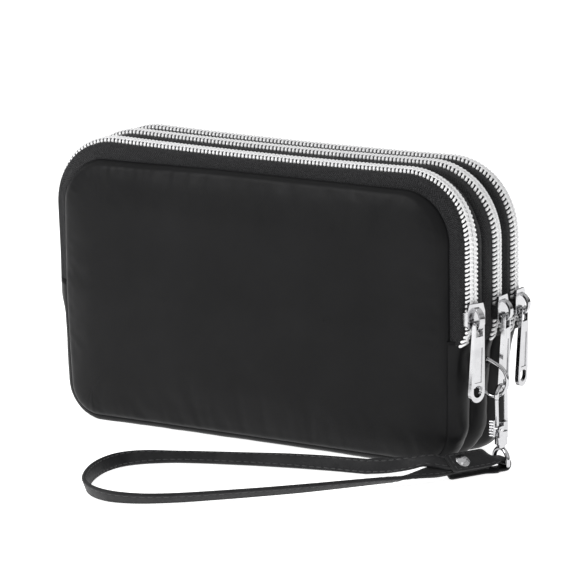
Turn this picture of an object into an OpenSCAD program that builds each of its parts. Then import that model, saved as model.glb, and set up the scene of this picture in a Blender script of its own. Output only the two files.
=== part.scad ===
// Triple-zip wristlet pouch: three padded compartments side by side, each with
// its own coil zip over the top, and a wrist strap on a swivel clasp.
// X is the width, +X the side with the sliders; -Y is the front; +Z is up.
// The origin is on the ground under the middle zip, half way along the width.

/* [Pouch] */
// Width over the zips
pouch_w = 190; // [170:2:210]
// Height over the zips
pouch_h = 114; // [104:2:130]
// Depth between the front and the back seam
pouch_d = 45; // [44:1:48]
// Corner radius of the zips
corner_r = 28; // [24:1:32]
// Corner radius of the gussets at the bottom
foot_r = 20; // [14:1:26]
// Thickness of the padding in the front and back panels
padding_t = 2.6; // [2:0.1:3]
// Thickness of the outer fabric and of the dividers
fabric_t = 0.8; // [0.5:0.1:1]

/* [Zips] */
// Height of the ends of the zips above the ground
zip_end = 50; // [44:1:56]
// Height of the middle of a closed slider
slider_z = 61; // [60:1:66]
// Width of the two coil rows together
chain_w = 6.2; // [5.8:0.1:6.4]
// Thickness of the woven tape
tape_t = 0.8; // [0.6:0.1:0.8]
// Length of a pull
pull_l = 31; // [27:1:32]
// Width of a pull at its free end
pull_w = 7.6; // [7:0.2:8]

/* [Wrist strap] */
// Width of the strap
strap_w = 5.8; // [5:0.2:6]
// Thickness of the strap
strap_t = 1.6; // [1.2:0.1:1.6]
// Length of the folded keeper that holds the strap's ends
keeper_l = 25; // [22:1:28]
// Width of the keeper
keeper_w = 8.6; // [8:0.2:9]

/* [Hidden] */
$fn = 64;

fabric_colour = [0.16, 0.16, 0.17];
tape_colour = [0.07, 0.07, 0.08];
silver = [0.85, 0.86, 0.88];

// Seams, front to back, as [height above the zip line, y]
front_y = -24;
back_y = front_y + pouch_d;
front_seam = [-6.5, front_y];
valley_1 = [-1.2, -8.2];
valley_2 = [-0.9, 6.6];
back_seam = [-5, back_y];
seam_gap = 0.5;

// Zips, front to back: where the chain's middle is and how far it leans forward
zips = [
  [[-1, -17.2], 19],
  [[-0.4, -0.1], -3],
  [[-0.8, 13.4], -5]
];
flat_half = 4.7;   // half width of the tape that stays flat for the slider
slit_half = 0.5;   // half the gap between the two rows
coil_t = 1.5;      // height of the coil over the tape

// Gussets below the zips
gusset_inset = 2.5; // the sides stand this far inside the zips
gusset_t = 1;
valley_depth = 4;

// Linings
lining_t = 0.4;
lining_inset = 8;
lining_mouth = 18;  // the lining ends this far below the zip line

function along(zip, u) = [zip[0][0] + u * sin(zip[1]), zip[0][1] + u * cos(zip[1])];
function above(zip, u, v) = along(zip, u) + [v * cos(zip[1]), -v * sin(zip[1])];
function strip(line, t) = concat(
  [for (p = line) [p[0] + t / 2, p[1]]],
  [for (i = [len(line) - 1:-1:0]) [line[i][0] - t / 2, line[i][1]]]
);

// Rounded rectangle in X and Z, with other radii at the top than at the bottom
module outline(half_w, low, high, r_top, r_bottom) {
  for (s = [-1, 1]) {
    translate([s * (half_w - r_top), high - r_top]) circle(r = r_top);
    translate([s * (half_w - r_bottom), low + r_bottom]) circle(r = r_bottom);
  }
  translate([-half_w + r_top, low + r_bottom]) square([2 * (half_w - r_top), high - low - r_bottom]);
  translate([-half_w, low + r_bottom]) square([2 * half_w, high - low - r_bottom - r_top]);
  translate([-half_w + r_bottom, low]) square([2 * (half_w - r_bottom), r_bottom]);
}

module plate(y_low, y_high, half_w, low, high, r_top, r_bottom) {
  translate([0, y_high, 0]) rotate([90, 0, 0]) linear_extrude(y_high - y_low)
    outline(half_w, low, high, r_top, r_bottom);
}

// A profile of [n, y] points swept over the top, from one zip end to the other
module over_top(profile) {
  half = pouch_w / 2 - corner_r;
  rise = pouch_h - corner_r;
  for (s = [-1, 1]) {
    translate([0, 0, zip_end]) linear_extrude(rise - zip_end)
      polygon([for (p = profile) [s * (pouch_w / 2 + p[0]), p[1]]]);
    mirror([s < 0 ? 1 : 0, 0, 0]) translate([half, 0, rise]) rotate([90, 0, 0])
      rotate_extrude(angle = 90, $fn = 96) polygon([for (p = profile) [corner_r + p[0], -p[1]]]);
  }
  translate([-half, 0, 0]) rotate([90, 0, 90]) linear_extrude(2 * half)
    polygon([for (p = profile) [p[1], pouch_h + p[0]]]);
}

// The same under the bottom, for the gussets
module under_bottom(profile) {
  side = pouch_w / 2 - gusset_inset;
  half = side - foot_r;
  for (s = [-1, 1]) {
    translate([0, 0, foot_r]) linear_extrude(zip_end - foot_r - 0.3)
      polygon([for (p = profile) [s * (side + p[0]), p[1]]]);
    mirror([s < 0 ? 1 : 0, 0, 0]) translate([half, 0, foot_r]) rotate([90, 0, 0])
      rotate([0, 0, -90]) rotate_extrude(angle = 90, $fn = 96)
        polygon([for (p = profile) [foot_r + p[0], -p[1]]]);
  }
  translate([-half, 0, 0]) rotate([90, 0, 90]) linear_extrude(2 * half)
    polygon([for (p = profile) [p[1], -p[0]]]);
}

// Panels: outer fabric over padding, outside the front and back seams
module front_panel() {
  color(fabric_colour)
    plate(front_y - padding_t - fabric_t, front_y - padding_t, 88, 4, 108, 20, 16);
}

module front_padding() {
  color([0.6, 0.6, 0.6]) plate(front_y - padding_t, front_y, 86, 6, 106, 18, 14);
}

module back_panel() {
  color(fabric_colour)
    plate(back_y + padding_t, back_y + padding_t + fabric_t, 90, 4, 109, 22, 16);
}

module back_padding() {
  color([0.6, 0.6, 0.6]) plate(back_y, back_y + padding_t, 88, 6, 107, 20, 14);
}

// Dividers between the compartments, sewn into the valleys
module divider(y) {
  translate([0, y + fabric_t / 2, 0]) rotate([90, 0, 0]) linear_extrude(fabric_t) {
    side = pouch_w / 2 - gusset_inset - valley_depth - 0.4;
    outline(side, valley_depth + 0.4, pouch_h - 10, corner_r - 9, foot_r - 4);
    intersection() {
      outline(pouch_w / 2 - 1.8, 10, pouch_h - 1.8, corner_r - 1.8, foot_r);
      translate([-pouch_w, zip_end]) square([2 * pouch_w, pouch_h]);
    }
  }
}

module divider_front() {
  color(fabric_colour) divider(valley_1[1]);
}

module divider_rear() {
  color(fabric_colour) divider(valley_2[1]);
}

// Gussets: one bulging strip under each compartment
module gusset(y_low, y_high, low_n, high_n) {
  d = y_high - y_low;
  line = [
    [low_n, y_low], [low_n / 3, y_low + d * 0.2], [0 - gusset_t / 2, y_low + d * 0.4],
    [0 - gusset_t / 2, y_low + d * 0.6], [high_n / 3, y_low + d * 0.8], [high_n, y_high]
  ];
  under_bottom(strip(line, gusset_t));
}

module gusset_front() {
  color(fabric_colour) gusset(front_y, valley_1[1] - seam_gap, -4.5, -valley_depth);
}

module gusset_middle() {
  color(fabric_colour) gusset(valley_1[1] + seam_gap, valley_2[1] - seam_gap, -valley_depth, -valley_depth);
}

module gusset_rear() {
  color(fabric_colour) gusset(valley_2[1] + seam_gap, back_y, -valley_depth, -4.5);
}

// Linings: an open-topped bag in each compartment
module lining(y_low, y_high) {
  half = pouch_w / 2 - lining_inset;
  low = lining_inset;
  high = pouch_h - 4;
  difference() {
    plate(y_low, y_high, half, low, high, corner_r - 6, foot_r - 6);
    plate(y_low + lining_t, y_high - lining_t, half - lining_t, low + lining_t, high + 1,
      corner_r - 6, foot_r - 6 - lining_t);
    translate([-pouch_w, -pouch_d, pouch_h - lining_mouth]) cube([2 * pouch_w, 2 * pouch_d, lining_mouth]);
  }
}

module lining_front() {
  color([0.3, 0.3, 0.32]) lining(front_y + 0.1, valley_1[1] - fabric_t / 2 - 0.1);
}

module lining_middle() {
  color([0.3, 0.3, 0.32]) lining(valley_1[1] + fabric_t / 2 + 0.1, valley_2[1] - fabric_t / 2 - 0.1);
}

module lining_rear() {
  color([0.3, 0.3, 0.32]) lining(valley_2[1] + fabric_t / 2 + 0.1, back_y - 0.1);
}

// Zip tapes: from a seam to the slit between the rows
module tape_front(zip, seam) {
  line = [seam, along(zip, -flat_half), along(zip, -slit_half)];
  color(tape_colour) over_top(strip(line, tape_t));
}

module tape_rear(zip, seam) {
  line = [along(zip, slit_half), along(zip, flat_half), seam];
  color(tape_colour) over_top(strip(line, tape_t));
}

// Coil rows on the outer face of the tapes
module coil(zip, side) {
  low = tape_t / 2 + 0.05;
  inner = side * slit_half;
  outer = side * chain_w / 2;
  color(silver) over_top([
    above(zip, inner, low), above(zip, outer, low),
    above(zip, outer, low + coil_t), above(zip, inner, low + coil_t)
  ]);
}

// Slider: x is outward from the tape, y across it, z up, about the slider's middle
slider_half = 4.7;
slider_top = [2.4, 3.5];      // outer plate, from and to
slider_under = [-2, -0.8];    // inner plate
bridge_r = 4.6;
bridge_t = 0.9;
bridge_x = 2.6;
bridge_z = -1.2;
bridge_w = 2.4;
bar_x = 4.75;                 // middle of the pull's top bar
bar_z = bridge_z - 1.6;

module slider_plate(span) {
  translate([span[0], 0, 0]) rotate([90, 0, 90]) linear_extrude(span[1] - span[0])
    polygon([
      [-3.4, slider_half], [3.4, slider_half], [4.3, 1.5], [4.3, 1 - slider_half],
      [3.4, -slider_half], [-3.4, -slider_half], [-4.3, 1 - slider_half], [-4.3, 1.5]
    ]);
}

module slider(zip) {
  c = along(zip, 0);
  color(silver) translate([pouch_w / 2 + c[0], c[1], slider_z]) rotate([0, 0, -zip[1]]) {
    slider_plate(slider_top);
    slider_plate(slider_under);
    for (s = [-1, 1])
      translate([0.75, s * 3.9 - 0.4, 1 - slider_half]) cube([2, 0.8, slider_half + 0.5]);
    translate([-1, -0.3, -slider_half + 0.4]) cube([3.6, 0.6, 3.4]);
    translate([0, bridge_w / 2, 0]) rotate([90, 0, 0]) linear_extrude(bridge_w)
      difference() {
        translate([bridge_x, bridge_z]) circle(r = bridge_r);
        translate([bridge_x, bridge_z]) circle(r = bridge_r - bridge_t);
        translate([bridge_x - 20, bridge_z - 10]) square([20, 20]);
      }
    translate([2.6, -bridge_w / 2, bridge_z - bridge_r]) cube([0.9, bridge_w, 2]);
  }
}

// Pull: hangs from the bridge by its round top bar, and leans towards the pouch
pull_lean = 2.5;
pull_turns = [12, -8, -3];  // how far each pull faces forward, front to back
pull_t = 1.5;
pull_bar = 1.4;      // diameter of the top bar
pull_slot = [3.7, 4.2];

module pull_face(inset) {
  top_w = pull_w * 0.34;
  hull() {
    for (s = [-1, 1]) {
      translate([s * (top_w - 1), -0.25]) circle(r = 1 - inset, $fn = 32);
      translate([s * (top_w - 0.8), -8]) circle(r = 0.8 - inset / 2, $fn = 32);
    }
    translate([0, pull_w / 2 - pull_l + pull_bar / 2]) circle(r = pull_w / 2 - inset, $fn = 48);
  }
}

module pull(number) {
  zip = zips[number - 1];
  c = above(zip, 0, bar_x);
  hole_z = 4.2 - pull_l + pull_bar / 2;
  color(silver) translate([pouch_w / 2 + c[0], c[1], slider_z + bar_z])
    rotate([0, 0, -pull_turns[number - 1]]) rotate([0, pull_lean, 0]) rotate([90, 0, 90]) {
      difference() {
        translate([0, 0, -pull_t / 2]) linear_extrude(pull_t) pull_face(0);
        // slot for the bridge
        translate([-pull_slot[0] / 2, -pull_bar / 2 - pull_slot[1], -2])
          cube([pull_slot[0], pull_slot[1] + 4, 4]);
        // hole at the free end
        translate([0, hole_z, -2]) cylinder(r = 2.3, h = 4);
        translate([-2.3, hole_z, -2]) cube([4.6, 1.6, 4]);
        // recessed panel on each face
        for (z = [pull_t / 2 - 0.3, -pull_t / 2 - 1.05])
          translate([-pull_w / 2 + 1.9, hole_z + 3.4, z])
            cube([pull_w - 3.8, pull_l - 17.5, 1.35]);
      }
      translate([-pull_slot[0] / 2 - 0.4, 0, 0]) rotate([0, 90, 0])
        cylinder(r = pull_bar / 2, h = pull_slot[0] + 0.8);
    }
}

// Ring tab and ring, in the valley between the first two compartments
ring_lean = 24;
ring_mid = [93.4, -8.2, 37];
ring_wire = 0.75;
ring_half = 6.2;
ring_leg = 5.6;
tab_t = 0.7;
tab_root = 0.9;     // the two layers together, where they pass between the gussets
tab_h = 10.5;

module on_ring() {
  translate(ring_mid) rotate([0, ring_lean, 0]) children();
}

module ring_tab() {
  inner = ring_wire + 0.1;
  color(fabric_colour) on_ring() difference() {
    union() {
      translate([0, 0, -tab_h / 2]) cylinder(r = inner + tab_t, h = tab_h);
      translate([-4.6, -tab_root / 2, -tab_h / 2]) cube([4.6, tab_root, tab_h]);
    }
    translate([0, 0, -tab_h / 2 - 1]) cylinder(r = inner, h = tab_h + 2);
    rotate([0, -ring_lean, 0])
      translate([-20 + pouch_w / 2 - gusset_inset - valley_depth + 0.1 - ring_mid[0], -5, -20])
        cube([20, 10, 40]);
  }
}

module d_ring() {
  color(silver) on_ring() {
    translate([0, 0, -ring_half]) cylinder(r = ring_wire, h = 2 * ring_half);
    for (s = [-1, 1]) {
      translate([0, 0, s * ring_half]) sphere(r = ring_wire);
      translate([0, 0, s * ring_half]) rotate([0, 90, 0]) cylinder(r = ring_wire, h = ring_leg);
    }
    translate([ring_leg, 0, 0]) rotate([90, 0, 0]) rotate([0, 0, -90])
      rotate_extrude(angle = 180, $fn = 64) translate([ring_half, 0]) circle(r = ring_wire, $fn = 24);
  }
}

// Swivel clasp, about its upright axis
clasp_at = [102, -8.4];
hook_wire = 0.9;
hook_r = 3.3;
hook_z = 29.6;
tip_z = 28.4;
barrel_r = 2.4;
barrel_z = [10.4, 15.6];
post_r = 0.9;
pivot = [-2.9, 16.6];    // trigger's pin, as y from the axis and z
pin_r = 0.5;
trigger_half = 0.75;
ear_span = [1.2, 1.8];

module on_clasp() {
  translate([clasp_at[0], clasp_at[1], 0]) children();
}

module clasp_body() {
  color(silver) on_clasp() {
    difference() {
      union() {
        translate([0, 0, barrel_z[0]]) cylinder(r = barrel_r, h = barrel_z[1] - barrel_z[0]);
        translate([-1.1, 0.2, 12.4]) cube([2.2, hook_r - 0.2, 6.4]);
        for (s = [-1, 1])
          translate([s > 0 ? ear_span[0] : -ear_span[1], pivot[0] - 1.3, 13.6])
            cube([ear_span[1] - ear_span[0], 3.4, pivot[1] - 13.6 + 1.2]);
      }
      translate([0, 0, barrel_z[0] - 1]) cylinder(r = post_r + 0.05, h = 4);
      translate([0, 0, barrel_z[0] + 1.5]) cylinder(r = 1.65, h = 2.4);
      translate([-3, pivot[0], pivot[1]]) rotate([0, 90, 0]) cylinder(r = pin_r, h = 6);
    }
    translate([0, hook_r, 13]) cylinder(r = hook_wire, h = hook_z - 13);
    translate([0, 0, hook_z]) rotate([90, 0, 90])
      rotate_extrude(angle = 180, $fn = 64) translate([hook_r, 0]) circle(r = hook_wire, $fn = 32);
    translate([0, -hook_r, tip_z]) cylinder(r = hook_wire, h = hook_z - tip_z);
  }
}

module trigger() {
  gate_top = tip_z - 0.3;
  lean = atan2(hook_r + pivot[0], gate_top - pivot[1]);
  color(silver) on_clasp() translate([0, pivot[0], pivot[1]]) difference() {
    union() {
      translate([-trigger_half, 0, 0]) rotate([0, 90, 0]) cylinder(r = 1.15, h = 2 * trigger_half);
      rotate([lean, 0, 0]) translate([0, 0, 0.6]) cylinder(r = 0.75, h = gate_top - pivot[1] - 0.6);
      // thumb tab with ridges
      translate([-trigger_half, -3.2, -1.1]) cube([2 * trigger_half, 3, 1]);
      translate([-0.9, -4, -2.2]) cube([1.8, 0.9, 6.4]);
      for (k = [0:5])
        translate([-0.9, -4, -1.7 + k * 1.1]) rotate([0, 90, 0]) cylinder(r = 0.35, h = 1.8, $fn = 24);
    }
    translate([-3, 0, 0]) rotate([0, 90, 0]) cylinder(r = pin_r + 0.05, h = 6);
  }
}

module trigger_pin() {
  color(silver) on_clasp() translate([-ear_span[1] - 0.2, pivot[0], pivot[1]]) rotate([0, 90, 0])
    cylinder(r = pin_r, h = 2 * ear_span[1] + 0.4);
}

// Two turns of torsion spring beside the trigger, with one leg on the body
module trigger_spring() {
  wire = 0.1;
  color([0.7, 0.7, 0.72]) on_clasp() translate([0, pivot[0], pivot[1]]) {
    for (x = [0.88, 1.07])
      translate([x, 0, 0]) rotate([0, 90, 0]) rotate_extrude($fn = 48)
        translate([0.72, 0]) circle(r = wire, $fn = 16);
    translate([1.07, 0.72, -1]) cylinder(r = wire, h = 1, $fn = 16);
  }
}

// Swivel eye: turned to face along the keeper
keeper_turn = 247;       // direction of the keeper from +X, in degrees
eye_r = 4.3;
eye_bar_z = 2.95;
eye_leg = 1.5;
eye_wire = 0.9;

module on_eye() {
  on_clasp() rotate([0, 0, keeper_turn]) children();
}

module swivel_eye() {
  arch_z = eye_bar_z + eye_leg;
  color(silver) on_eye() {
    translate([0, -eye_r, eye_bar_z]) rotate([-90, 0, 0]) cylinder(r = eye_wire, h = 2 * eye_r);
    for (s = [-1, 1]) {
      translate([0, s * eye_r, eye_bar_z]) sphere(r = eye_wire);
      translate([0, s * eye_r, eye_bar_z]) cylinder(r = eye_wire, h = eye_leg);
    }
    translate([0, 0, arch_z]) rotate([90, 0, 90])
      rotate_extrude(angle = 180, $fn = 64) translate([eye_r, 0]) circle(r = eye_wire, $fn = 32);
    translate([0, 0, arch_z + eye_r]) cylinder(r = post_r, h = 13 - arch_z - eye_r);
    translate([0, 0, arch_z + eye_r + 0.3]) cylinder(r = 1.7, h = 1.2);
    translate([0, 0, barrel_z[0] + 1.7]) cylinder(r = 1.4, h = 1.2);
  }
}

// Keeper: a strip folded round the eye's bar, with the strap's ends between its layers
keeper_t = 1;
keeper_low = eye_bar_z - strap_t - keeper_t;
rivet_at = 19;

module strap_keeper() {
  inner = strap_t;
  color(fabric_colour) on_eye() difference() {
    union() {
      translate([0, keeper_w / 2, eye_bar_z]) rotate([90, 0, 0]) difference() {
        cylinder(r = inner + keeper_t, h = keeper_w);
        translate([0, 0, -1]) cylinder(r = inner, h = keeper_w + 2);
        translate([0, -5, -1]) cube([10, 10, keeper_w + 2]);
      }
      for (z = [keeper_low, eye_bar_z + inner])
        translate([0, -keeper_w / 2, z]) cube([keeper_l, keeper_w, keeper_t]);
    }
    translate([rivet_at, 0, -1]) cylinder(r = 1, h = 12);
    // the eye's legs pass at the keeper's edges
    for (s = [-1, 1])
      translate([-4, s > 0 ? eye_r - 1.35 : -eye_r - 3.65, -1]) cube([7, 5, 12]);
  }
}

module rivet_cap() {
  color(silver) on_eye() translate([rivet_at, 0, eye_bar_z + strap_t + keeper_t]) {
    cylinder(r = 2.9, h = 0.4);
    intersection() {
      translate([0, 0, -3.4]) sphere(r = 4.6);
      translate([0, 0, 0.3]) cylinder(r = 2.6, h = 2);
    }
  }
}

module rivet_back() {
  color(silver) on_eye() translate([rivet_at, 0, keeper_low - 0.3]) {
    cylinder(r = 2.4, h = 0.3);
    cylinder(r = 1, h = 2 * (strap_t + keeper_t) + 0.3);
  }
}

// Wrist strap: its middle line from the keeper's lower layer round to its upper layer.
// Each point is x, y, z and the strap's lean from flat, in degrees.
strap_route = [
  [99.2, -14.9, 2.15, 0], [96.3, -21.9, 2.15, 0], [93.3, -28.8, 2.15, 0], [91.9, -32.1, 2.15, 0],
  [90.4, -35.4, 2.1, 0], [88.3, -39.5, 1.8, 2], [84.8, -45.4, 1.6, 6], [78, -55, 1.9, 14],
  [69, -67, 2.5, 32], [59, -79, 3, 55], [48, -91.5, 3, 74], [37, -103, 3, 86],
  [26, -113.5, 3, 90], [15.5, -121.5, 3, 90], [5, -125.5, 3, 90], [-5, -124, 3, 90], [-13.5, -118, 3, 90],
  [-20, -109, 3, 90], [-25, -98.5, 3, 90], [-28, -87.5, 3, 90], [-27.5, -77, 3, 90], [-22.5, -68, 3, 90],
  [-13.5, -61.5, 3, 90], [-2, -56.5, 3, 90], [12, -51.5, 3, 90], [28, -46.5, 3, 90], [44, -42.5, 3, 90],
  [59, -39.8, 3.1, 90], [71, -38.2, 3.3, 80], [79.6, -37, 3.9, 58], [85.6, -35.2, 4.7, 26],
  [89.3, -32.2, 3.85, 0], [91.4, -30, 3.75, 0], [94.1, -24.2, 3.75, 0], [96.3, -18.9, 3.75, 0],
  [98.2, -14.4, 3.75, 0]
];
strap_corner = 0.5;
strap_ring = [
  for (p = [[1, 0.5], [0.8, 1], [-0.8, 1], [-1, 0.5], [-1, -0.5], [-0.8, -1], [0.8, -1], [1, -0.5]])
    [p[0] * strap_w / 2, p[1] * strap_t / 2]
];

function unit(v) = v / norm(v);
function spot(i) = [strap_route[i][0], strap_route[i][1], strap_route[i][2]];
function heading(i) = unit(spot(min(i + 1, len(strap_route) - 1)) - spot(max(i - 1, 0)));
function ring_points(i) =
  let (
    ahead = heading(i),
    level = unit(cross([0, 0, 1], ahead)),
    upward = cross(ahead, level),
    lean = strap_route[i][3],
    wide = level * cos(lean) + upward * sin(lean),
    thick = cross(ahead, wide)
  )
  [for (p = strap_ring) spot(i) + wide * p[0] + thick * p[1]];

module wrist_strap() {
  rings = len(strap_route);
  sides = len(strap_ring);
  points = [for (i = [0:rings - 1]) each ring_points(i)];
  faces = concat(
    [[for (k = [0:sides - 1]) k]],
    [for (i = [0:rings - 2]) for (k = [0:sides - 1]) let (a = i * sides, b = (k + 1) % sides)
      [a + k, a + sides + k, a + sides + b]],
    [for (i = [0:rings - 2]) for (k = [0:sides - 1]) let (a = i * sides, b = (k + 1) % sides)
      [a + k, a + sides + b, a + b]],
    [[for (k = [sides - 1:-1:0]) (rings - 1) * sides + k]]
  );
  color(fabric_colour) polyhedron(points, faces);
}

front_end_1 = [valley_1[0], valley_1[1] - seam_gap];
front_end_2 = [valley_1[0], valley_1[1] + seam_gap];
rear_end_2 = [valley_2[0], valley_2[1] - seam_gap];
front_end_3 = [valley_2[0], valley_2[1] + seam_gap];

front_panel();
front_padding();
back_panel();
back_padding();
divider_front();
divider_rear();
gusset_front();
gusset_middle();
gusset_rear();
lining_front();
lining_middle();
lining_rear();
tape_front(zips[0], front_seam);  // tape_1_front
tape_rear(zips[0], front_end_1);  // tape_1_rear
tape_front(zips[1], front_end_2);  // tape_2_front
tape_rear(zips[1], rear_end_2);  // tape_2_rear
tape_front(zips[2], front_end_3);  // tape_3_front
tape_rear(zips[2], back_seam);  // tape_3_rear
coil(zips[0], -1);  // coil_1_front
coil(zips[0], 1);  // coil_1_rear
coil(zips[1], -1);  // coil_2_front
coil(zips[1], 1);  // coil_2_rear
coil(zips[2], -1);  // coil_3_front
coil(zips[2], 1);  // coil_3_rear
slider(zips[0]);  // slider_1
slider(zips[1]);  // slider_2
slider(zips[2]);  // slider_3
pull(1);  // pull_1
pull(2);  // pull_2
pull(3);  // pull_3
ring_tab();
d_ring();
clasp_body();
trigger();
trigger_pin();
trigger_spring();
swivel_eye();
strap_keeper();
wrist_strap();
rivet_cap();
rivet_back();
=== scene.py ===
import math

import bmesh
import bpy
import numpy as np
from mathutils import Matrix, Vector
from mathutils.bvhtree import BVHTree
from mathutils.noise import noise as perlin


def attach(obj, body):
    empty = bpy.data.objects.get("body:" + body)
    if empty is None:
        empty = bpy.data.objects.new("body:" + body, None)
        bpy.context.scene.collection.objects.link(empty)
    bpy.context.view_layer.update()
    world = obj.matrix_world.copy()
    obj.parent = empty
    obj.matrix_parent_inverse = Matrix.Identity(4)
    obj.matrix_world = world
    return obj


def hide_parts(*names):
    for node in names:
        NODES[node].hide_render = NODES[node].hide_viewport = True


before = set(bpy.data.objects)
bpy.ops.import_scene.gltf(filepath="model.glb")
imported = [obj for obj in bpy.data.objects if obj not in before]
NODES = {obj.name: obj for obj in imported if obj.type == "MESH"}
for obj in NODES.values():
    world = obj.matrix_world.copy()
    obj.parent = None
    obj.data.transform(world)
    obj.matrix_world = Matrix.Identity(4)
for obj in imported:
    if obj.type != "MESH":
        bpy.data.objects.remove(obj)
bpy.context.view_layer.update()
MM = 0.001
PI = math.pi
UP = np.array([0, 0, 1])


# ---------------------------------------------------------------- camera
AZIMUTH, ELEVATION, ROLL = math.radians(33.51), math.radians(11.851), math.radians(-0.692)
CAMERA_AIM, CAMERA_DISTANCE = (0.01686, -0.024, 0.06426), 1.76617
FOCAL_MM, SENSOR_MM = 289.17, 36


def make_camera():
    """The photograph's viewing angle, through a long lens."""
    back = Vector((math.sin(AZIMUTH) * math.cos(ELEVATION),
                   -math.cos(AZIMUTH) * math.cos(ELEVATION), math.sin(ELEVATION)))
    right = Vector((math.cos(AZIMUTH), math.sin(AZIMUTH), 0))
    up = back.cross(right)
    x = right * math.cos(ROLL) + up * math.sin(ROLL)
    y = up * math.cos(ROLL) - right * math.sin(ROLL)
    data = bpy.data.cameras.new("camera")
    data.lens = FOCAL_MM
    data.sensor_width = SENSOR_MM
    data.clip_start, data.clip_end = 0.05, 50
    cam = bpy.data.objects.new("camera", data)
    bpy.context.scene.collection.objects.link(cam)
    turn = Matrix((x, y, back)).transposed().to_4x4()
    cam.matrix_world = Matrix.Translation(Vector(CAMERA_AIM) + back * CAMERA_DISTANCE) @ turn
    bpy.context.scene.camera = cam


make_camera()


# ---------------------------------------------------------------- materials
class Shader:
    """A Principled material and short calls for its node tree."""

    def __init__(self, name, colour, roughness, metallic=0.0, specular=0.5, sheen=0.0,
                 sheen_roughness=0.5):
        self.mat = bpy.data.materials.new(name)
        self.mat.use_nodes = True
        self.tree = self.mat.node_tree
        self.out = self.tree.nodes["Principled BSDF"]
        self.set("Base Color", (*colour, 1))
        self.set("Roughness", roughness)
        self.set("Metallic", metallic)
        self.set("Specular IOR Level", specular)
        self.set("Sheen Weight", sheen)
        self.set("Sheen Roughness", sheen_roughness)

    def set(self, socket, value):
        self.out.inputs[socket].default_value = value

    def node(self, kind, **props):
        n = self.tree.nodes.new(kind)
        for k, v in props.items():
            setattr(n, k, v)
        return n

    def link(self, a, b):
        self.tree.links.new(a, b)

    def coords(self, kind="Object"):
        """Object coordinates in metres, or UV in millimetres."""
        return self.node("ShaderNodeTexCoord").outputs[kind]

    def noise(self, scale, detail=3.0, roughness=0.55, vector=None):
        n = self.node("ShaderNodeTexNoise")
        n.inputs["Scale"].default_value = scale
        n.inputs["Detail"].default_value = detail
        n.inputs["Roughness"].default_value = roughness
        self.link(vector if vector is not None else self.coords(), n.inputs["Vector"])
        return n.outputs["Fac"]

    def math(self, op, a, b=None, c=None):
        n = self.node("ShaderNodeMath", operation=op)
        for i, v in enumerate((a, b, c)):
            if v is None:
                continue
            if isinstance(v, (int, float)):
                n.inputs[i].default_value = v
            else:
                self.link(v, n.inputs[i])
        return n.outputs[0]

    def spread(self, value, low, high, a=0.0, b=1.0):
        n = self.node("ShaderNodeMapRange")
        n.inputs["From Min"].default_value = low
        n.inputs["From Max"].default_value = high
        n.inputs["To Min"].default_value = a
        n.inputs["To Max"].default_value = b
        self.link(value, n.inputs["Value"])
        return n.outputs["Result"]

    def mix(self, fac, a, b):
        n = self.node("ShaderNodeMix", data_type="RGBA")
        self.link(fac, n.inputs["Factor"])
        n.inputs["A"].default_value = (*a, 1)
        n.inputs["B"].default_value = (*b, 1)
        self.link(n.outputs["Result"], self.out.inputs["Base Color"])

    def roughness(self, value):
        self.link(value, self.out.inputs["Roughness"])

    def bump(self, *layers):
        last = None
        for height, strength, distance in layers:
            n = self.node("ShaderNodeBump")
            n.inputs["Strength"].default_value = strength
            n.inputs["Distance"].default_value = distance
            self.link(height, n.inputs["Height"])
            if last is not None:
                self.link(last, n.inputs["Normal"])
            last = n.outputs["Normal"]
        self.link(last, self.out.inputs["Normal"])


def weave(s, pitch, axes=("X", "Z")):
    """Plain weave: the product of two rib waves, pitch in metres."""
    sep = s.node("ShaderNodeSeparateXYZ")
    s.link(s.coords(), sep.inputs[0])
    k = 2 * PI / pitch
    a = s.math("SINE", s.math("MULTIPLY", sep.outputs[axes[0]], k))
    b = s.math("SINE", s.math("MULTIPLY", sep.outputs[axes[1]], k))
    return s.math("MULTIPLY", a, b)


def nylon_material(name, dark, light, rough=0.44):
    s = Shader(name, dark, rough, specular=0.11, sheen=0.02, sheen_roughness=0.4)
    s.mix(s.spread(s.noise(22, 4), 0.3, 0.7), dark, light)
    s.roughness(s.spread(s.noise(140, 3), 0.3, 0.7, rough - 0.05, rough + 0.06))
    s.bump((weave(s, 0.0009), 0.16, 0.00005), (s.noise(90, 4), 0.22, 0.0005),
           (s.noise(900, 2), 0.18, 0.00008))
    return s.mat


def tape_material():
    """Herringbone: the ribs turn back every 1.35 mm across the tape and repeat every 0.95 mm along it."""
    s = Shader("zip_tape", (0.012, 0.012, 0.013), 0.62, specular=0.2, sheen=0.04)
    sep = s.node("ShaderNodeSeparateXYZ")
    s.link(s.coords("UV"), sep.inputs[0])
    along, across = sep.outputs["X"], sep.outputs["Y"]
    zigzag = s.math("ADD", along, s.math("PINGPONG", across, 1.35))
    rib = s.math("SINE", s.math("MULTIPLY", zigzag, 2 * PI / 0.95))
    # grain is the rib wave plus noise: the colour is darker in the grooves between the ribs, which is
    # painted shade, and the noise adds random tone
    grain = s.math("ADD", s.math("MULTIPLY", rib, 0.18), s.noise(1500, 2))
    s.mix(s.spread(grain, 0.3, 0.78), (0.002, 0.002, 0.0025), (0.033, 0.033, 0.035))
    s.bump((rib, 0.75, 0.00022), (s.noise(1400, 2), 0.25, 0.0001))
    return s.mat


def coil_material():
    s = Shader("zip_coil", (0.9, 0.9, 0.91), 0.34, metallic=0.2, specular=0.6)
    s.mix(s.spread(s.noise(700, 3), 0.3, 0.7), (0.86, 0.86, 0.87), (0.96, 0.96, 0.96))
    s.roughness(s.spread(s.noise(500, 2), 0.3, 0.7, 0.24, 0.4))
    s.bump((s.noise(2600, 2), 0.2, 0.00006))
    return s.mat


def thread_material(name, dark, light):
    s = Shader(name, dark, 0.55, specular=0.4, sheen=0.1)
    twist = s.noise(3200, 2)
    s.mix(s.spread(twist, 0.3, 0.7), dark, light)
    s.bump((twist, 0.5, 0.0001))
    return s.mat


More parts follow.
